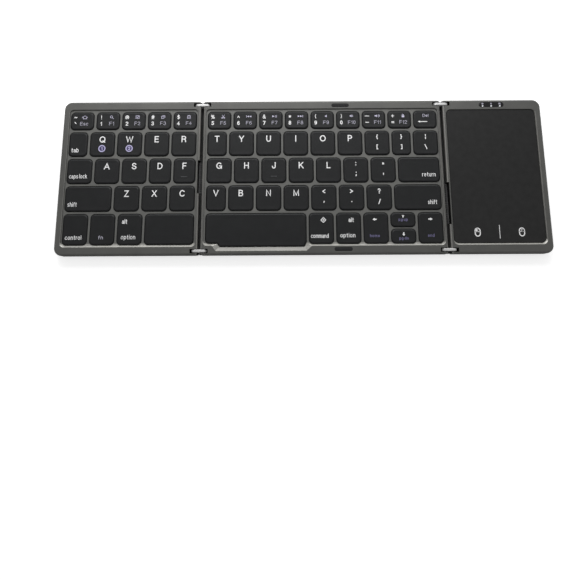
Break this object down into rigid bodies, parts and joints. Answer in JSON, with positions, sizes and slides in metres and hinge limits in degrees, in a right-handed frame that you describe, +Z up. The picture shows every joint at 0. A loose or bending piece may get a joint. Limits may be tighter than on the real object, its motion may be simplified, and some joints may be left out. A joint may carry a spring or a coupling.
{
  "type": "folding keyboard",
  "caption": "Thin folding keyboard in three hinged panels, with sprung keys on two panels and a clicking touchpad on the third.",
  "frame": {"origin": "middle of the open keyboard's footprint, on the surface that its feet stand on", "axes": "+X along the rows of keys towards the touchpad, +Y to the rear row of keys, +Z up out of the keys"},
  "size_m": [0.3046, 0.098, 0.0081],
  "materials": {
    "frame_plastic": "fine satin grain",
    "cover_plastic": "fine spark-eroded grain",
    "web_plastic": "smooth satin",
    "key_plastic": "fine matte",
    "touchpad_film": "fine speckled matte",
    "steel": "brushed",
    "hinge_silver": "polished nickel plate",
    "rubber": "matte",
    "circuit_board": "solder mask",
    "membrane_film": "clear film",
    "dome_rubber": "milky silicone",
    "magnet_metal": "nickel plate",
    "battery_foil": "foil pouch",
    "window_plastic": "glossy dark window",
    "led": "clear resin"
  },
  "bodies": {
    "centre": {"centre_bottom_cover": "cover_plastic", "centre_top_frame": "frame_plastic", "centre_key_web": "web_plastic", "centre_key_plate": "steel", "centre_membrane": "membrane_film", "centre_domes": "dome_rubber", "main_board": "circuit_board", "centre_feet": "rubber", "centre_screws": "steel", "centre_magnets": "magnet_metal", "bumper_pads": "rubber"},
    "left_link": {"left_hinge_links": "hinge_silver", "left_hinge_pins": "steel", "left_hinge_spine": "steel", "left_cable_sleeve": "rubber"},
    "left_wing": {"left_bottom_cover": "cover_plastic", "left_top_frame": "frame_plastic", "left_key_web": "web_plastic", "left_key_plate": "steel", "left_membrane": "membrane_film", "left_domes": "dome_rubber", "left_feet": "rubber", "left_screws": "steel", "left_magnets": "magnet_metal"},
    "right_link": {"right_hinge_links": "hinge_silver", "right_hinge_pins": "steel", "right_hinge_spine": "steel", "right_cable_sleeve": "rubber"},
    "right_wing": {"right_bottom_cover": "cover_plastic", "right_top_frame": "frame_plastic", "touchpad_switch": "steel", "battery": "battery_foil", "charge_board": "circuit_board", "charging_port": "steel", "status_window": "window_plastic", "status_leds": "led", "right_feet": "rubber", "right_screws": "steel", "right_magnets": "magnet_metal"},
    "touchpad": {"touchpad_surface": "touchpad_film", "touchpad_board": "circuit_board"},
    "left_number_keys": {"left_number_keys": "key_plastic"},
    "left_upper_keys": {"left_upper_keys": "key_plastic"},
    "left_home_keys": {"left_home_keys": "key_plastic"},
    "left_lower_keys": {"left_lower_keys": "key_plastic"},
    "left_corner_keys": {"left_corner_keys": "key_plastic"},
    "tab_key": {"tab_key": "key_plastic"},
    "left_shift_key": {"left_shift_key": "key_plastic"},
    "left_space_key": {"left_space_key": "key_plastic"},
    "centre_number_keys": {"centre_number_keys": "key_plastic"},
    "centre_upper_keys": {"centre_upper_keys": "key_plastic"},
    "centre_home_keys": {"centre_home_keys": "key_plastic"},
    "centre_lower_keys": {"centre_lower_keys": "key_plastic"},
    "centre_corner_keys": {"centre_corner_keys": "key_plastic"},
    "return_key": {"return_key": "key_plastic"},
    "right_shift_key": {"right_shift_key": "key_plastic"},
    "space_bar": {"space_bar": "key_plastic"},
    "up_key": {"up_key": "key_plastic"},
    "down_key": {"down_key": "key_plastic"}
  },
  "joints": [
    {"name": "left_link_fold", "type": "hinge", "parent": "centre", "child": "left_link", "pos_m": [-0.06145, 0, 0.00565], "axis": [0, 1, 0], "range_deg": [0, 90]},
    {"name": "left_wing_fold", "type": "hinge", "parent": "left_link", "child": "left_wing", "pos_m": [-0.06645, 0, 0.00565], "axis": [0, 1, 0], "range_deg": [0, 90]},
    {"name": "right_link_fold", "type": "hinge", "parent": "centre", "child": "right_link", "pos_m": [0.08625, 0, 0.00565], "axis": [0, -1, 0], "range_deg": [0, 90]},
    {"name": "right_wing_fold", "type": "hinge", "parent": "right_link", "child": "right_wing", "pos_m": [0.09125, 0, 0.00565], "axis": [0, -1, 0], "range_deg": [0, 90]},
    {"name": "touchpad_click", "type": "hinge", "parent": "right_wing", "child": "touchpad", "pos_m": [0.12, 0.0408, 0.0059], "axis": [1, 0, 0], "range_deg": [0, 0.34], "stiffness_Nm_per_rad": 10, "springref_deg": -0.29},
    {"name": "left_number_keys_press", "type": "slide", "parent": "left_wing", "child": "left_number_keys", "axis": [0, 0, -1], "range_m": [0, 0.0012], "stiffness_N_per_m": 600, "springref_m": -0.001, "deforming": ["left_domes"]},
    {"name": "left_upper_keys_press", "type": "slide", "parent": "left_wing", "child": "left_upper_keys", "axis": [0, 0, -1], "range_m": [0, 0.0012], "stiffness_N_per_m": 600, "springref_m": -0.001, "deforming": ["left_domes"]},
    {"name": "left_home_keys_press", "type": "slide", "parent": "left_wing", "child": "left_home_keys", "axis": [0, 0, -1], "range_m": [0, 0.0012], "stiffness_N_per_m": 600, "springref_m": -0.001, "deforming": ["left_domes"]},
    {"name": "left_lower_keys_press", "type": "slide", "parent": "left_wing", "child": "left_lower_keys", "axis": [0, 0, -1], "range_m": [0, 0.0012], "stiffness_N_per_m": 600, "springref_m": -0.001, "deforming": ["left_domes"]},
    {"name": "left_corner_keys_press", "type": "slide", "parent": "left_wing", "child": "left_corner_keys", "axis": [0, 0, -1], "range_m": [0, 0.0012], "stiffness_N_per_m": 600, "springref_m": -0.001, "deforming": ["left_domes"]},
    {"name": "tab_key_press", "type": "slide", "parent": "left_wing", "child": "tab_key", "axis": [0, 0, -1], "range_m": [0, 0.0012], "stiffness_N_per_m": 250, "springref_m": -0.001, "deforming": ["left_domes"]},
    {"name": "left_shift_key_press", "type": "slide", "parent": "left_wing", "child": "left_shift_key", "axis": [0, 0, -1], "range_m": [0, 0.0012], "stiffness_N_per_m": 250, "springref_m": -0.001, "deforming": ["left_domes"]},
    {"name": "left_space_key_press", "type": "slide", "parent": "left_wing", "child": "left_space_key", "axis": [0, 0, -1], "range_m": [0, 0.0012], "stiffness_N_per_m": 250, "springref_m": -0.001, "deforming": ["left_domes"]},
    {"name": "centre_number_keys_press", "type": "slide", "parent": "centre", "child": "centre_number_keys", "axis": [0, 0, -1], "range_m": [0, 0.0012], "stiffness_N_per_m": 600, "springref_m": -0.001, "deforming": ["centre_domes"]},
    {"name": "centre_upper_keys_press", "type": "slide", "parent": "centre", "child": "centre_upper_keys", "axis": [0, 0, -1], "range_m": [0, 0.0012], "stiffness_N_per_m": 600, "springref_m": -0.001, "deforming": ["centre_domes"]},
    {"name": "centre_home_keys_press", "type": "slide", "parent": "centre", "child": "centre_home_keys", "axis": [0, 0, -1], "range_m": [0, 0.0012], "stiffness_N_per_m": 600, "springref_m": -0.001, "deforming": ["centre_domes"]},
    {"name": "centre_lower_keys_press", "type": "slide", "parent": "centre", "child": "centre_lower_keys", "axis": [0, 0, -1], "range_m": [0, 0.0012], "stiffness_N_per_m": 600, "springref_m": -0.001, "deforming": ["centre_domes"]},
    {"name": "centre_corner_keys_press", "type": "slide", "parent": "centre", "child": "centre_corner_keys", "axis": [0, 0, -1], "range_m": [0, 0.0012], "stiffness_N_per_m": 600, "springref_m": -0.001, "deforming": ["centre_domes"]},
    {"name": "return_key_press", "type": "slide", "parent": "centre", "child": "return_key", "axis": [0, 0, -1], "range_m": [0, 0.0012], "stiffness_N_per_m": 250, "springref_m": -0.001, "deforming": ["centre_domes"]},
    {"name": "right_shift_key_press", "type": "slide", "parent": "centre", "child": "right_shift_key", "axis": [0, 0, -1], "range_m": [0, 0.0012], "stiffness_N_per_m": 250, "springref_m": -0.001, "deforming": ["centre_domes"]},
    {"name": "space_bar_press", "type": "slide", "parent": "centre", "child": "space_bar", "axis": [0, 0, -1], "range_m": [0, 0.0012], "stiffness_N_per_m": 250, "springref_m": -0.001, "deforming": ["centre_domes"]},
    {"name": "up_key_press", "type": "slide", "parent": "centre", "child": "up_key", "axis": [0, 0, -1], "range_m": [0, 0.0012], "stiffness_N_per_m": 250, "springref_m": -0.001, "deforming": ["centre_domes"]},
    {"name": "down_key_press", "type": "slide", "parent": "centre", "child": "down_key", "axis": [0, 0, -1], "range_m": [0, 0.0012], "stiffness_N_per_m": 250, "springref_m": -0.001, "deforming": ["centre_domes"]}
  ],
  "couplings": [
    {"joint": "left_wing_fold", "follows": "left_link_fold", "ratio": 1},
    {"joint": "right_wing_fold", "follows": "right_link_fold", "ratio": 1}
  ]
}
